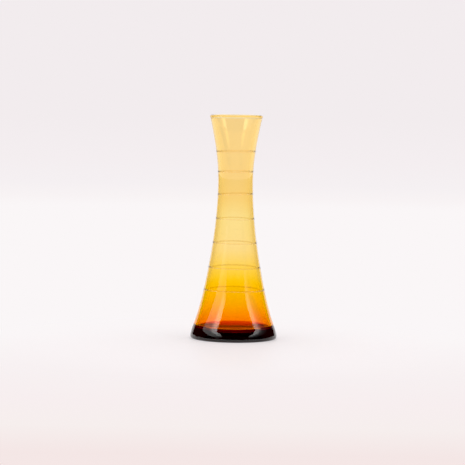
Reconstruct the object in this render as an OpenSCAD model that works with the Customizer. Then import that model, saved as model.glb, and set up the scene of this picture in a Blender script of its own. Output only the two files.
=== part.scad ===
// Bud vase in amber blown glass: a heavy dark foot, a thin wall that narrows to a slim neck and
// flares again to a fire-polished lip, and fine glass threads laid one by one round the outside.
// Millimetres, +Z up, origin on the table under the centre of the foot.

/* [Outline] */
// Height of the vase over the lip
vase_h = 200; // [190:1:230]
// Radius of the foot at its widest
foot_r = 38.7; // [36:0.1:44]
// Height at which the side of the foot has turned to lean inwards
shoulder_h = 12; // [8:0.5:18]
// Radius of the foot at that height
shoulder_r = 36.15; // [33:0.05:42]
// Lean there, in mm inwards per mm of height
shoulder_lean = 0.36; // [0.2:0.01:0.5]
// Height at which the flare of the foot eases into the body
body_h = 50; // [40:1:70]
// Radius of the wall at that height
body_r = 25.9; // [23:0.1:30]
// Lean of the wall at that height
body_lean = 0.2; // [0.1:0.01:0.3]
// Height of the narrowest place of the neck
neck_h = 141; // [110:1:155]
// Radius of the neck there
neck_r = 15.55; // [12:0.05:20]
// Radius of the wall where the lip begins
mouth_r = 23.25; // [18:0.05:30]
// Flare of the wall where the lip begins, in mm outwards per mm of height
mouth_flare = 0.23; // [0:0.01:0.4]

/* [Glass] */
// Thickness of the wall where it rises from the foot
wall_low = 3.5; // [2:0.1:5]
// Thickness of the wall under the lip
wall_high = 2.5; // [1.8:0.1:3]
// Radius of the fire-polished lip's round section
lip_bead_r = 1.6; // [1.55:0.05:2.2]
// Thickness of the solid glass under the middle of the vase's floor
floor_h = 3.6; // [3:0.1:15]
// Depth of the bowl-shaped floor, from where the wall begins
bowl_depth = 8.2; // [4:0.1:10]
// Squareness of the bowl: 2 is a half ellipse, more is flatter with a tighter round
bowl_squareness = 2.2; // [2:0.1:4]
// Radius of the round under the foot's outer edge
edge_round = 2; // [1:0.1:5]
// Width of the ground ring that the vase stands on
ring_w = 5; // [3:0.5:10]
// Rise of the hollow inside that ring
punt_h = 1.5; // [0:0.1:3]

/* [Threads] */
// Width of a thread, measured up the wall
thread_w = 0.9; // [0.6:0.1:2]
// How far a thread stands out from the wall
thread_out = 0.25; // [0.2:0.05:1]

/* [Hidden] */
// Heights of the threads, uneven because each is laid by hand
thread_heights = [44, 64, 86, 107.5, 129.5, 149.5, 167.5];
thread_count = len(thread_heights);
span_steps = 7;         // straight steps of the outline between two threads
foot_steps = 8;         // straight steps of the outline up the side of the foot
bowl_steps = 12;        // straight steps of the bowl-shaped floor
round_step = 11;        // degrees between the points of a small round
punt_steps = 8;         // straight steps of the hollow under the foot
turn_fn = 160;          // steps of every turned solid

dark_amber = "#2b0d08";
amber = [0.98, 0.68, 0.16, 0.55];
pale_amber = [0.96, 0.82, 0.42, 0.75];
thread_amber = [0.62, 0.40, 0.10];

ring_r = foot_r - edge_round;
foot_h = floor_h + bowl_depth;

// The lip's round section sits on the wall's top face with a chord as wide as the wall.
lip_z = vase_h - lip_bead_r;
wall_top = lip_z - sqrt(pow(lip_bead_r, 2) - pow(wall_high / 2, 2));
lip_angle = asin((lip_z - wall_top) / lip_bead_r);

// The outline runs through these knots: [height, radius, slope of the radius]
knots = [
    [edge_round, foot_r, 0],
    [shoulder_h, shoulder_r, -shoulder_lean],
    [body_h, body_r, -body_lean],
    [neck_h, neck_r, 0],
    [wall_top, mouth_r, mouth_flare]
];

// Smooth cubic through knots a and b at height z
function smooth(z, a, b) =
    let (h = b[0] - a[0], t = (z - a[0]) / h)
    (2 * pow(t, 3) - 3 * pow(t, 2) + 1) * a[1] + (pow(t, 3) - 2 * pow(t, 2) + t) * h * a[2]
    + (3 * pow(t, 2) - 2 * pow(t, 3)) * b[1] + (pow(t, 3) - pow(t, 2)) * h * b[2];

function outer_r(z) =
    z < knots[1][0] ? smooth(z, knots[0], knots[1])
    : z < knots[2][0] ? smooth(z, knots[1], knots[2])
    : z < knots[3][0] ? smooth(z, knots[2], knots[3])
    : smooth(z, knots[3], knots[4]);

function wall_t(z) = wall_low + (wall_high - wall_low) * (z - foot_h) / (wall_top - foot_h);

function steps(from, to, n) = [for (k = [0:n]) from + (to - from) * k / n];

// Heights of the wall's outline points: even steps from thread to thread, none under a thread,
// so that each thread lies on one straight step of the wall
function span_from(i) = i == 0 ? foot_h : thread_heights[i - 1] + thread_w / 2;
function span_to(i) = i == thread_count ? wall_top : thread_heights[i] - thread_w / 2;
wall_heights = [for (i = [0:thread_count]) each steps(span_from(i), span_to(i), span_steps)];

// Radius of the straight step of the wall that a thread at height h lies on
function chord_r(z, h) =
    let (low = outer_r(h - thread_w / 2), high = outer_r(h + thread_w / 2))
    low + (high - low) * ((z - h) / thread_w + 1 / 2);

// Points of a round section about [r, z], from one angle to another
function round_points(r, z, radius, from, to) =
    let (n = ceil(abs(to - from) / round_step))
    [for (a = steps(from, to, n)) [r + radius * cos(a), z + radius * sin(a)]];

// Solid glass foot: hollow underneath inside a ring, round outside edge, bowl-shaped floor inside
module foot() {
    punt_r = ring_r - ring_w;
    inner_r = outer_r(foot_h) - wall_low;
    hollow = [for (k = [0:punt_steps]) let (s = k / punt_steps) [punt_r * s, punt_h * (1 - s * s)]];
    edge = round_points(ring_r, edge_round, edge_round, -90, 0);
    side = [for (z = steps(edge_round, foot_h, foot_steps)) if (z > edge_round) [outer_r(z), z]];
    bend = 2 / bowl_squareness;
    bowl = [for (a = steps(0, 90, bowl_steps)) if (a < 90)
        [inner_r * pow(cos(a), bend), foot_h - bowl_depth * pow(sin(a), bend)]];
    color(dark_amber)
        rotate_extrude($fn = turn_fn)
            polygon(concat(hollow, edge, side, bowl, [[0, floor_h]]));
}

// Blown wall, from the foot to the face that the lip sits on
module wall() {
    outside = [for (z = wall_heights) [outer_r(z), z]];
    inside = [for (z = steps(wall_top, foot_h, span_steps * (thread_count + 1)))
        [outer_r(z) - wall_t(z), z]];
    color(amber)
        rotate_extrude($fn = turn_fn)
            polygon(concat(outside, inside));
}

// Lip melted to a round section
module lip() {
    color(pale_amber)
        rotate_extrude($fn = turn_fn)
            polygon(round_points(mouth_r - wall_high / 2, lip_z, lip_bead_r,
                                 -lip_angle, 180 + lip_angle));
}

// One thread of glass, half round, flat against the wall
module thread(i) {
    h = thread_heights[i - 1];
    color(thread_amber)
        rotate_extrude($fn = turn_fn)
            polygon([for (a = steps(0, 180, ceil(180 / round_step)))
                let (z = h - thread_w / 2 * cos(a)) [chord_r(z, h) + thread_out * sin(a), z]]);
}

foot();
wall();
lip();
for (i = [1:thread_count])
    thread(i);
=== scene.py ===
import math

import bpy
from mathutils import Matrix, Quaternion, Vector


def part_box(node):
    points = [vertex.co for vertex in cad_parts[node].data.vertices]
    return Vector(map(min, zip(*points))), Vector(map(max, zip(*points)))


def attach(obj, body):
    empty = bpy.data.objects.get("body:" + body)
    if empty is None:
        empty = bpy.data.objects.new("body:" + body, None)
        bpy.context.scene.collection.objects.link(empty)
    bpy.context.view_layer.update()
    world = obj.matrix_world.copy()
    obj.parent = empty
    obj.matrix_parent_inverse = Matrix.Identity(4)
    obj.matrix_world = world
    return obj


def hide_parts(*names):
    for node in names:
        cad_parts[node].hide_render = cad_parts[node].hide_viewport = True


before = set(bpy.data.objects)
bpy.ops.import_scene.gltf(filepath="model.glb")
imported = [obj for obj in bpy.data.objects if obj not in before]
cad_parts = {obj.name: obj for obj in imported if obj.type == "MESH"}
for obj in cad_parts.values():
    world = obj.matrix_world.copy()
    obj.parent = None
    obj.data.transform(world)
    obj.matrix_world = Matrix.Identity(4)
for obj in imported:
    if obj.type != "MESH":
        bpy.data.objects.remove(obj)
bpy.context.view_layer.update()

# Amber glass bud vase: foot, blown wall, fire-polished lip and seven threads laid round the wall.
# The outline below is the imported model's own, turned finer, so the glass bends light smoothly.

mm = 0.001
sink = 0.03 * mm           # how far a piece of glass runs into the next, so light crosses no gap
weldDistance = 0.002 * mm  # points closer than this are one point
threadNames = sorted(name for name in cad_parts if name.startswith("thread_"))


vaseOutline = {
    "footEdgeRound": 2.0 * mm,   # round under the foot's outer edge
    "shoulderHeight": 12 * mm,   # where the foot's side has turned to lean inwards
    "shoulderRadius": 36.15 * mm,
    "shoulderLean": 0.36,        # mm inwards per mm of height
    "bodyHeight": 50 * mm,       # where the foot's sweep eases into the body
    "bodyRadius": 25.9 * mm,
    "bodyLean": 0.2,
    "neckHeight": 141 * mm,      # narrowest place
    "neckRadius": 15.55 * mm,
    "mouthRadius": 23.25 * mm,
    "mouthFlare": 0.23,
    "wallLow": 3.5 * mm,         # wall thickness at the foot and under the lip
    "wallHigh": 2.5 * mm,
}

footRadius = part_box("foot")[1][0]
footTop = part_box("foot")[1][2]
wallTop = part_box("wall")[1][2]
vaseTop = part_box("lip")[1][2]
edgeCentre = footRadius - vaseOutline["footEdgeRound"]

# knots of the outline: height, radius, slope of the radius
outlineKnots = [
    (vaseOutline["footEdgeRound"], footRadius, 0),
    (vaseOutline["shoulderHeight"], vaseOutline["shoulderRadius"], -vaseOutline["shoulderLean"]),
    (vaseOutline["bodyHeight"], vaseOutline["bodyRadius"], -vaseOutline["bodyLean"]),
    (vaseOutline["neckHeight"], vaseOutline["neckRadius"], 0),
    (wallTop, vaseOutline["mouthRadius"], vaseOutline["mouthFlare"]),
]


def outerRadius(height):
    # smooth cubic between the two knots round this height
    below, above = outlineKnots[0], outlineKnots[1]
    for low, high in zip(outlineKnots, outlineKnots[1:]):
        if height >= low[0]:
            below, above = low, high
    span = above[0] - below[0]
    t = (height - below[0]) / span
    return ((2 * t ** 3 - 3 * t ** 2 + 1) * below[1] + (t ** 3 - 2 * t ** 2 + t) * span * below[2]
            + (3 * t ** 2 - 2 * t ** 3) * above[1] + (t ** 3 - t ** 2) * span * above[2])


def wallThickness(height):
    share = (height - footTop) / (wallTop - footTop)
    return vaseOutline["wallLow"] + (vaseOutline["wallHigh"] - vaseOutline["wallLow"]) * share


def evenSteps(start, end, count):
    return [start + (end - start) * k / count for k in range(count + 1)]


def roundPoints(centre, radius, start, end, count):
    # points of an arc in the radius-height plane, angles in degrees
    turned = [math.radians(angle) for angle in evenSteps(start, end, count)]
    return [(centre[0] + radius * math.cos(a), centre[1] + radius * math.sin(a)) for a in turned]


def newOutline(name, points):
    # a plane shrunk to one point, then pulled along the outline point by point
    bpy.ops.object.select_all(action="DESELECT")
    bpy.ops.mesh.primitive_plane_add(size=mm, location=(0, 0, 0))
    piece = bpy.context.active_object
    piece.name = piece.data.name = name
    bpy.ops.object.mode_set(mode="EDIT")
    bpy.ops.mesh.select_mode(type="VERT")
    bpy.ops.mesh.select_all(action="SELECT")
    bpy.ops.mesh.merge(type="CENTER")
    bpy.ops.transform.translate(value=(points[0][0], 0, points[0][1]))
    for here, there in zip(points, points[1:]):
        step = (there[0] - here[0], 0, there[1] - here[1])
        bpy.ops.mesh.extrude_region_move(TRANSFORM_OT_translate={"value": step})
    return piece


def turnOutline(piece, turns, sweep=360, sharpAngle=40):
    # spun round the vase's axis, then welded and faced outwards
    bpy.ops.mesh.select_all(action="SELECT")
    bpy.ops.mesh.spin(steps=turns, angle=math.radians(sweep), center=(0, 0, 0), axis=(0, 0, 1))
    bpy.ops.mesh.select_all(action="SELECT")
    bpy.ops.mesh.remove_doubles(threshold=weldDistance)
    bpy.ops.mesh.normals_make_consistent(inside=False)
    bpy.ops.object.mode_set(mode="OBJECT")
    bpy.ops.object.shade_smooth_by_angle(angle=math.radians(sharpAngle))
    return piece


def linear(hexColour):
    # sRGB hex to linear colour
    parts = [int(hexColour[i:i + 2], 16) / 255 for i in (1, 3, 5)]
    return tuple(p / 12.92 if p <= 0.04045 else ((p + 0.055) / 1.055) ** 2.4 for p in parts) + (1,)


def addNode(tree, kind, settings=None, links=None):
    # a node with its settings, where a name is a socket or a property, and what feeds its sockets
    made = tree.nodes.new(kind)
    for name, value in (settings or {}).items():
        if isinstance(name, int) or name in made.inputs:
            made.inputs[name].default_value = value
        else:
            setattr(made, name, value)
    for name, source in (links or {}).items():
        tree.links.new(source, made.inputs[name])
    return made


def colourRamp(tree, value, stops, highest):
    # colours by a value that runs from 0 to highest
    share = addNode(tree, "ShaderNodeMapRange", {"From Min": 0, "From Max": highest}, {"Value": value})
    ramp = addNode(tree, "ShaderNodeValToRGB", links={"Fac": share.outputs["Result"]})
    elements = ramp.color_ramp.elements
    elements.remove(elements[1])
    elements[0].color = linear(stops[0][1])
    for place, colour in stops[1:]:
        elements.new(place / highest).color = linear(colour)
    return ramp


def glassMaterial(name, glass):
    # clear, coloured glass: its body takes light by depth, so thick glass looks darker; its skin carries
    # the colour's change with height, which on the foot includes painted shade at the bottom, drawn-out
    # streaks, and the slow waves that hand tooling leaves, which bend the gloss a little
    material = bpy.data.materials.new(name)
    material.use_nodes = True
    tree = material.node_tree
    tree.nodes.clear()
    surface = addNode(tree, "ShaderNodeBsdfPrincipled", {"Transmission Weight": 1, "IOR": glass["ior"]})
    place = addNode(tree, "ShaderNodeTexCoord").outputs["Object"]
    height = addNode(tree, "ShaderNodeSeparateXYZ", links={"Vector": place}).outputs["Z"]

    across, along = glass["streakSize"]
    drawn = addNode(tree, "ShaderNodeMapping", {
        "Scale": (1 / (across * mm), 1 / (across * mm), 1 / (along * mm))}, {"Vector": place})
    streak = addNode(tree, "ShaderNodeTexNoise", {"Scale": 1, "Detail": 3, "Roughness": 0.55},
                     {"Vector": drawn.outputs["Vector"]})
    shift = addNode(tree, "ShaderNodeMapRange", {
        "From Min": 0.3, "From Max": 0.7, "To Min": -glass["streakShift"] * mm,
        "To Max": glass["streakShift"] * mm}, {"Value": streak.outputs["Fac"]})
    streakedHeight = addNode(tree, "ShaderNodeMath", {"operation": "ADD"},
                             {0: height, 1: shift.outputs["Result"]})
    colour = colourRamp(tree, streakedHeight.outputs["Value"],
                        [(stop * mm, tint) for stop, tint in glass["colours"]], vaseTop)
    tree.links.new(colour.outputs["Color"], surface.inputs["Base Color"])

    waves = addNode(tree, "ShaderNodeTexNoise", {
        "Scale": 1 / (glass["waveLength"] * mm), "Detail": 1, "Roughness": 0.4}, {"Vector": place})
    bump = addNode(tree, "ShaderNodeBump", {"Strength": 1, "Distance": glass["waveHeight"] * mm},
                   {"Height": waves.outputs["Fac"]})
    tree.links.new(bump.outputs["Normal"], surface.inputs["Normal"])

    if glass.get("groundHeight"):
        # the ring it stands on is ground flat and has scuffed in use, so it is frosted white
        scuffs = addNode(tree, "ShaderNodeTexNoise", {
            "Scale": 1 / (glass["scuffSize"] * mm), "Detail": 4}, {"Vector": place})
        least, most = (share * glass["groundHeight"] * mm for share in glass["scuffReach"])
        reach = addNode(tree, "ShaderNodeMapRange", {
            "From Min": 0.35, "From Max": 0.65, "To Min": least, "To Max": most},
            {"Value": scuffs.outputs["Fac"]})
        ground = addNode(tree, "ShaderNodeMath", {"operation": "LESS_THAN"},
                         {0: height, 1: reach.outputs["Result"]})
        rough = addNode(tree, "ShaderNodeMapRange", {
            "To Min": glass["roughness"], "To Max": glass["groundRoughness"]},
            {"Value": ground.outputs["Value"]})
        tree.links.new(rough.outputs["Result"], surface.inputs["Roughness"])
    else:
        surface.inputs["Roughness"].default_value = glass["roughness"]

    # the strongest of the three sets the density, and the colour keeps the others in proportion
    density = max(glass["absorbs"]) / mm
    body = addNode(tree, "ShaderNodeVolumeAbsorption", {
        "Color": tuple(1 - taken / mm / density for taken in glass["absorbs"]) + (1,), "Density": density})
    addNode(tree, "ShaderNodeOutputMaterial", links={
        "Surface": surface.outputs["BSDF"], "Volume": body.outputs["Volume"]})
    return material


# blown: a smooth, glossy skin with slow waves, and streaks drawn out up the wall
wall = {
    "rows": 110,
    "turns": 256,
    "roughness": 0.0,
    "ior": 1.52,
    "absorbs": (0.001, 0.039, 0.207),   # red, green and blue taken by each mm
    # colour of the skin by height, mm: deep orange at the foot, nearly clear at the neck
    "colours": [(0, "#ff9c00"), (17, "#ffbf00"), (25, "#ffd400"), (34, "#ffe200"), (50, "#fff038"),
                (56, "#fff5a0"), (70, "#fffae4"), (80, "#fffdff"), (108, "#ffffff"), (125, "#fff8ec")],
    "streakSize": (3, 60),              # mm across and along
    "streakShift": 1.5,                 # mm that a streak moves the colour up or down
    "waveLength": 16,                   # mm
    "waveHeight": 0.03,                 # mm
}


def makeWall():
    outside = [(outerRadius(z), z) for z in evenSteps(footTop, wallTop, wall["rows"])]
    inside = [(outerRadius(z) - wallThickness(z), z) for z in evenSteps(wallTop, footTop, wall["rows"])]
    piece = turnOutline(newOutline("wall_glass", outside + inside + outside[:1]), wall["turns"])
    piece.data.materials.append(glassMaterial("blown soda-lime glass, amber", wall))
    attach(piece, "root")
    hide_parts("wall")
    print("wall turned:", len(piece.data.polygons), "faces")
    return piece


# fire-polished: melted round in the flame, so it carries an unbroken line of light
lip = {
    "beadRadius": 1.6 * mm,
    "beadSteps": 32,
    "turns": 160,
    "roughness": 0.0,
    "ior": 1.52,
    "absorbs": (0.001, 0.039, 0.207),
    "colours": [(0, "#fff8ec"), (200, "#fff8ec")],
    "streakSize": (2, 8),
    "streakShift": 1,
    "waveLength": 9,
    "waveHeight": 0.02,
}


def makeLip():
    centre = (vaseOutline["mouthRadius"] - vaseOutline["wallHigh"] / 2, vaseTop - lip["beadRadius"])
    drop = centre[1] - wallTop + sink
    angle = math.degrees(math.asin(drop / lip["beadRadius"]))
    bead = roundPoints(centre, lip["beadRadius"], -angle, 180 + angle, lip["beadSteps"])
    piece = turnOutline(newOutline("lip_glass", bead + bead[:1]), lip["turns"])
    piece.data.materials.append(glassMaterial("fire-polished soda-lime glass, pale amber", lip))
    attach(piece, "root")
    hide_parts("lip")
    print("lip turned:", len(piece.data.polygons), "faces")
    return piece


# cast thick and dark: it looks black, with red and orange only where the light's way is short; the
# near-black skin at its bottom is painted shade for the shadowed table seen through it
foot = {
    "floorHeight": 3.6 * mm,
    "ringWidth": 5 * mm,
    "hollowHeight": 1.5 * mm,
    "hollowSteps": 16,
    "edgeSteps": 20,
    "sideSteps": 16,
    "bowlSteps": 40,
    "bowlSquareness": 2.2,      # 2 would be an elliptical bowl, more is flatter with a tighter round
    "turns": 180,
    "roughness": 0.0,
    "ior": 1.52,
    "absorbs": (0.075, 0.55, 0.8),
    # the two darkest stops, up to 2.2 mm, are painted shade: the shadowed table under the foot, seen
    # through its floor
    "colours": [(0, "#200400"), (2.2, "#400c00"), (4, "#e08020"), (8, "#ffb040"), (11.8, "#ffc400")],
    "streakSize": (4, 12),
    "streakShift": 0.6,
    "waveLength": 14,
    "waveHeight": 0.03,
    "groundHeight": 0.12,       # mm up from the table that the grinding reaches
    "groundRoughness": 0.45,
    "scuffSize": 0.6,           # mm
    "scuffReach": (0.4, 1.4),   # least and most of that height
}


def makeFoot():
    hollowRadius = edgeCentre - foot["ringWidth"]
    top = footTop + sink
    innerTop = outerRadius(top) - wallThickness(top)
    bowlRadius = outerRadius(footTop) - vaseOutline["wallLow"]
    bowlDepth = footTop - foot["floorHeight"]
    power = 2 / foot["bowlSquareness"]
    hollow = [(hollowRadius * s, foot["hollowHeight"] * (1 - s * s))
              for s in evenSteps(0, 1, foot["hollowSteps"])]
    edgeRound = vaseOutline["footEdgeRound"]
    edge = roundPoints((edgeCentre, edgeRound), edgeRound, -90, 0, foot["edgeSteps"])
    side = [(outerRadius(z), z) for z in evenSteps(edgeRound, top, foot["sideSteps"])][1:]
    bowlTurns = [math.radians(angle) for angle in evenSteps(0, 90, foot["bowlSteps"])][:-1]
    bowl = [(bowlRadius * math.cos(a) ** power, footTop - bowlDepth * math.sin(a) ** power)
            for a in bowlTurns]
    points = hollow + edge + side + [(innerTop, top)] + bowl + [(0, foot["floorHeight"])]
    piece = turnOutline(newOutline("foot_glass", points), foot["turns"])
    piece.data.materials.append(glassMaterial("cast soda-lime glass, dark red amber", foot))
    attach(piece, "root")
    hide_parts("foot")
    print("foot turned:", len(piece.data.polygons), "faces")
    return piece


# drawn out thin and laid on hot: it bends the light behind it into a fine dark line
thread = {
    "standsOut": 0.25 * mm,
    "width": 0.9 * mm,
    "crownSteps": 14,
    "turns": 160,
    "roughness": 0.0,
    "ior": 1.52,
    "absorbs": (0.005, 0.06, 0.25),
    "colours": [(0, "#fff8ec"), (200, "#fff8ec")],
    "streakSize": (2, 2),
    "streakShift": 1,
    "waveLength": 5,
    "waveHeight": 0.02,
    "rises": [-0.1, -0.1, -0.2, -0.15, 0.3, 0.1, 0.15],   # mm that each one climbs to its right side
}


def makeThread(name, rise, material):
    low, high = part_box(name)
    height = (low[2] + high[2]) / 2
    half = thread["width"] / 2
    tall = thread["standsOut"] + sink
    crown = []
    for angle in evenSteps(0, 180, thread["crownSteps"]):
        z = height - half * math.cos(math.radians(angle))
        crown.append((outerRadius(z) - sink + tall * math.sin(math.radians(angle)), z))
    piece = turnOutline(newOutline(name + "_glass", crown + crown[:1]), thread["turns"])
    for vertex in piece.data.vertices:   # laid by hand, a little off level
        x, y, z = vertex.co
        radius = math.hypot(x, y)
        lift = rise * mm * x / radius
        grow = (radius + outerRadius(z + lift) - outerRadius(z)) / radius
        vertex.co = (x * grow, y * grow, z + lift)
    piece.data.materials.append(material)
    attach(piece, "root")
    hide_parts(name)
    return piece


stage = {
    "wallRadius": 2.9,
    "bendRadius": 0.9,
    "wallHeight": 4.0,
    "tableSteps": 8,
    "bendSteps": 24,
    "backSector": 37.5,           # degrees to each side of straight behind
    "turnStep": 3.75,             # degrees
    "board": "#f2f1f2",           # the matt board that the vase stands on
    "boardCentre": (0, -0.07, 0),
    "boardEdge": (0.08, 0.24),    # where the board gives way to the lit sweep, from its centre
    "roughness": 0.5,
    # glow of the sweep by height above the table, m
    "glow": [(0, "#faf6f7"), (0.01, "#f8f3f4"), (0.03, "#f5f0f2"), (0.07, "#f4eef0"), (0.15, "#f2ecee")],
    "glowTop": 0.2,
    # how the table dims toward the camera, by the distance in front of the vase, m
    "dims": [(0, "#ffffff"), (0.16, "#fdfbfb"), (0.27, "#fcf9f9"), (0.4, "#fcf7f7"), (0.52, "#fbf7f5"),
             (0.63, "#f9efed")],
    "dimsTo": 0.8,
    "boardPaintedGlow": 0.4,             # painted light: the sweep's glow mixed into the board, which lifts its contact shadow
    "gathered": (1.15, 1.06),     # how much more of it the glass gathers, near the vase and far off
    "gatherReach": (0.3, 2.0),    # m
}


def stageMaterial():
    # matt white board near the vase, which takes a faint shadow that a painted glow mixed into it lifts,
    # running into a backlit acrylic sweep that glows evenly and takes none
    material = bpy.data.materials.new("matt board and backlit acrylic")
    material.use_nodes = True
    tree = material.node_tree
    tree.nodes.clear()
    place = addNode(tree, "ShaderNodeTexCoord")
    parts = addNode(tree, "ShaderNodeSeparateXYZ", links={"Vector": place.outputs["Object"]})
    flat = addNode(tree, "ShaderNodeVectorMath", {"operation": "DISTANCE", 1: stage["boardCentre"]},
                   {0: place.outputs["Object"]})
    # painted light: even at the board's centre a share of glow is mixed in, which lifts its shadow
    away = addNode(tree, "ShaderNodeMapRange", {
        "interpolation_type": "SMOOTHSTEP", "From Min": stage["boardEdge"][0],
        "From Max": stage["boardEdge"][1], "To Min": stage["boardPaintedGlow"]}, {"Value": flat.outputs["Value"]})
    ramp = colourRamp(tree, parts.outputs["Z"], stage["glow"], stage["glowTop"])
    toFront = addNode(tree, "ShaderNodeMath", {"operation": "MULTIPLY", 1: -1}, {0: parts.outputs["Y"]})
    dims = colourRamp(tree, toFront.outputs["Value"], stage["dims"], stage["dimsTo"])
    lit = addNode(tree, "ShaderNodeMixRGB", {"blend_type": "MULTIPLY", "Fac": 1},
                  {"Color1": ramp.outputs["Color"], "Color2": dims.outputs["Color"]})
    board = addNode(tree, "ShaderNodeBsdfPrincipled", {
        "Base Color": linear(stage["board"]), "Roughness": stage["roughness"]})
    # what the glass gathers is a little stronger than what the camera sees beside it
    direct = addNode(tree, "ShaderNodeLightPath")
    gathered = addNode(tree, "ShaderNodeMapRange", {
        "From Min": stage["gatherReach"][0], "From Max": stage["gatherReach"][1],
        "To Min": stage["gathered"][0], "To Max": stage["gathered"][1]}, {"Value": flat.outputs["Value"]})
    power = addNode(tree, "ShaderNodeMapRange", {"To Max": 1},
                    {"Value": direct.outputs["Is Camera Ray"], "To Min": gathered.outputs["Result"]})
    glow = addNode(tree, "ShaderNodeEmission", links={
        "Color": lit.outputs["Color"], "Strength": power.outputs["Result"]})
    mixed = addNode(tree, "ShaderNodeMixShader", links={
        0: away.outputs["Result"], 1: board.outputs["BSDF"], 2: glow.outputs["Emission"]})
    addNode(tree, "ShaderNodeOutputMaterial", links={"Surface": mixed.outputs["Shader"]})
    return material


def makeStage():
    material = stageMaterial()
    start = stage["wallRadius"] - stage["bendRadius"]
    table = [(start * s * s, 0) for s in evenSteps(0, 1, stage["tableSteps"])]
    bend = roundPoints((start, stage["bendRadius"]), stage["bendRadius"], -90, 0, stage["bendSteps"])
    bend += [(stage["wallRadius"], stage["wallHeight"])]
    sector = stage["backSector"]
    # name, outline, where its sweep starts, how far it turns, whether the glass mirrors it: the sides
    # and the front are left out of the gloss, as a dark studio would be
    for name, path, start, sweep, mirrored in (
            ("stage_table", table, 0, 360, True),
            ("stage_back", bend, 90 - sector, 2 * sector, True),
            ("stage_front", bend, 90 + sector, 360 - 2 * sector, False)):
        piece = newOutline(name, path)
        bpy.ops.mesh.select_all(action="SELECT")
        bpy.ops.transform.rotate(value=-math.radians(start), orient_axis="Z", center_override=(0, 0, 0))
        turnOutline(piece, round(sweep / stage["turnStep"]), -sweep)
        piece.data.materials.append(material)
        piece.visible_glossy = mirrored
    print("stage ready")


softboxes = {
    # from the vase: azimuth from the camera side, elevation, roll, half width and half height, all in
    # degrees; lean is how far the upper edge is slid sideways; glow from the lower edge to the upper
    # one, and fade from side to side
    "softbox_left": {"azimuth": -64, "elevation": 23, "roll": -14, "half": (31, 9), "lean": 0.065,
                     "glow": [(0, 1.1), (0.42, 1.2), (0.55, 1.8), (0.68, 4.2), (1, 4.9)],
                     "fade": [(0, 1), (0.56, 1), (0.68, 0.85), (0.8, 0.6), (0.89, 0.35), (0.95, 0.15),
                              (1, 0)]},
    "softbox_strip": {"azimuth": -42, "elevation": 8, "roll": 0, "half": (2.5, 7), "lean": 0,
                      "glow": [(0, 0.5), (0.3, 0.4), (1, 0.3)],
                      "fade": [(0, 0.3), (0.5, 1), (1, 0.6)]},
    "softbox_right": {"azimuth": 80, "elevation": 21, "roll": 9, "half": (36, 8), "lean": -0.04,
                      "glow": [(0, 0.05), (0.2, 0.15), (0.35, 0.3), (0.48, 0.6), (0.58, 1.3), (0.66, 2.4),
                               (0.74, 3.3), (1, 3.3)],
                      "fade": [(0, 0), (0.07, 0.35), (0.16, 0.65), (0.25, 0.8), (0.34, 0.95), (0.44, 1),
                               (0.56, 1), (0.63, 0.75), (0.74, 0.6), (0.85, 0.3), (1, 0.1)]},
}
aimPoint = Vector((0, 0, 0.03))
softboxDistance = 2.1


def greyRamp(tree, value, stops, brightest=1):
    ramp = addNode(tree, "ShaderNodeValToRGB", links={"Fac": value})
    elements = ramp.color_ramp.elements
    elements.remove(elements[1])
    elements[0].color = (stops[0][1] / brightest,) * 3 + (1,)
    for place, share in stops[1:]:
        elements.new(place).color = (share / brightest,) * 3 + (1,)
    return ramp.outputs["Color"]


def softboxMaterial(name, box):
    # diffusion cloth lit from its upper edge, falling off to its sides
    material = bpy.data.materials.new(name)
    material.use_nodes = True
    tree = material.node_tree
    tree.nodes.clear()
    brightest = max(strength for place, strength in box["glow"])
    place = addNode(tree, "ShaderNodeTexCoord").outputs["UV"]
    spots = addNode(tree, "ShaderNodeSeparateXYZ", links={"Vector": place})
    upwards = greyRamp(tree, spots.outputs["Y"], box["glow"], brightest)
    sideways = greyRamp(tree, spots.outputs["X"], box["fade"])
    lit = addNode(tree, "ShaderNodeMixRGB", {"blend_type": "MULTIPLY", "Fac": 1},
                  {"Color1": upwards, "Color2": sideways})
    cloth = addNode(tree, "ShaderNodeEmission", {"Strength": brightest}, {"Color": lit.outputs["Color"]})
    addNode(tree, "ShaderNodeOutputMaterial", links={"Surface": cloth.outputs["Emission"]})
    return material


def addSoftbox(name, box):
    azimuth, elevation = math.radians(box["azimuth"]), math.radians(box["elevation"])
    direction = Vector((math.sin(azimuth) * math.cos(elevation), -math.cos(azimuth) * math.cos(elevation),
                        math.sin(elevation)))
    facing = direction.to_track_quat("Z", "Y") @ Quaternion((0, 0, 1), math.radians(box["roll"]))
    width, height = (2 * softboxDistance * math.tan(math.radians(half)) for half in box["half"])
    bpy.ops.object.select_all(action="DESELECT")
    bpy.ops.mesh.primitive_plane_add(size=1, location=aimPoint + direction * softboxDistance,
                                     rotation=facing.to_euler())
    cloth = bpy.context.active_object
    cloth.name = name
    cloth.scale = (width, height, 1)
    for corner in cloth.data.vertices:
        corner.co.x += box["lean"] * corner.co.y
    cloth.data.materials.append(softboxMaterial(name, box))
    cloth.visible_camera = False   # it shows only in and through the glass
    cloth.visible_diffuse = False
    cloth.visible_shadow = False


topLight = {"size": 3.4, "height": 2.2, "radiance": 0.62}


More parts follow.
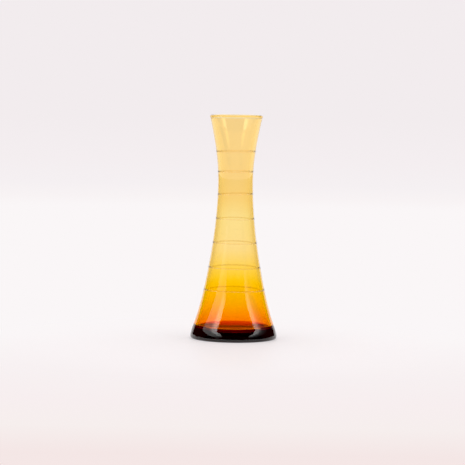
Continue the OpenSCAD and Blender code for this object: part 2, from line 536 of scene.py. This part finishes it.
def addTopLight():
    # wide soft light straight above, for the board and the air round the vase
    lamp = bpy.data.lights.new("light_top", "AREA")
    lamp.size = topLight["size"]
    lamp.energy = topLight["radiance"] * math.pi * lamp.size ** 2
    holder = bpy.data.objects.new("light_top", lamp)
    bpy.context.scene.collection.objects.link(holder)
    holder.location = (0, 0, topLight["height"])
    holder.visible_camera = False
    holder.visible_glossy = False
    holder.visible_transmission = False


airStrength = 0.9   # pale air of the studio, for the board and for what the glass looks up at


def addWorld():
    world = bpy.data.worlds.new("studio air")
    world.use_nodes = True
    background = world.node_tree.nodes["Background"]
    background.inputs["Color"].default_value = (1, 1, 1, 1)
    background.inputs["Strength"].default_value = airStrength
    bpy.context.scene.world = world
    world.cycles_visibility.camera = False
    world.cycles_visibility.glossy = False


camera = {
    "distance": 2.05,
    "height": 0.238,
    "aim": (-0.0021, 0, 0.0949),
    "roll": 0.81,               # degrees
    "across": 0.4149,           # width of the view at the vase
    "sensor": 36,
    "reach": 20,                # nothing past this distance is drawn
}
lightBounces = 24               # enough for light to cross every skin of the glass


def addCamera():
    lens = bpy.data.cameras.new("camera")
    holder = bpy.data.objects.new("camera", lens)
    bpy.context.scene.collection.objects.link(holder)
    holder.location = (0, -camera["distance"], camera["height"])
    aim = (Vector(camera["aim"]) - holder.location).to_track_quat("-Z", "Y")
    holder.rotation_mode = "QUATERNION"
    holder.rotation_quaternion = aim @ Quaternion((0, 0, 1), math.radians(camera["roll"]))
    lens.sensor_width = camera["sensor"]
    lens.lens = camera["sensor"] * camera["distance"] / camera["across"]
    lens.clip_end = camera["reach"]
    bpy.context.scene.camera = holder


makeWall()
makeLip()
makeFoot()
threadMaterial = glassMaterial("drawn soda-lime glass thread, amber", thread)
for name, rise in zip(threadNames, thread["rises"]):
    makeThread(name, rise, threadMaterial)
print("threads laid:", len(threadNames))
makeStage()
addWorld()
for name, box in softboxes.items():
    addSoftbox(name, box)
addTopLight()
addCamera()
print("lights and camera ready")
scene = bpy.context.scene
scene.view_settings.view_transform = "Standard"
scene.cycles.max_bounces = lightBounces
scene.cycles.transmission_bounces = lightBounces
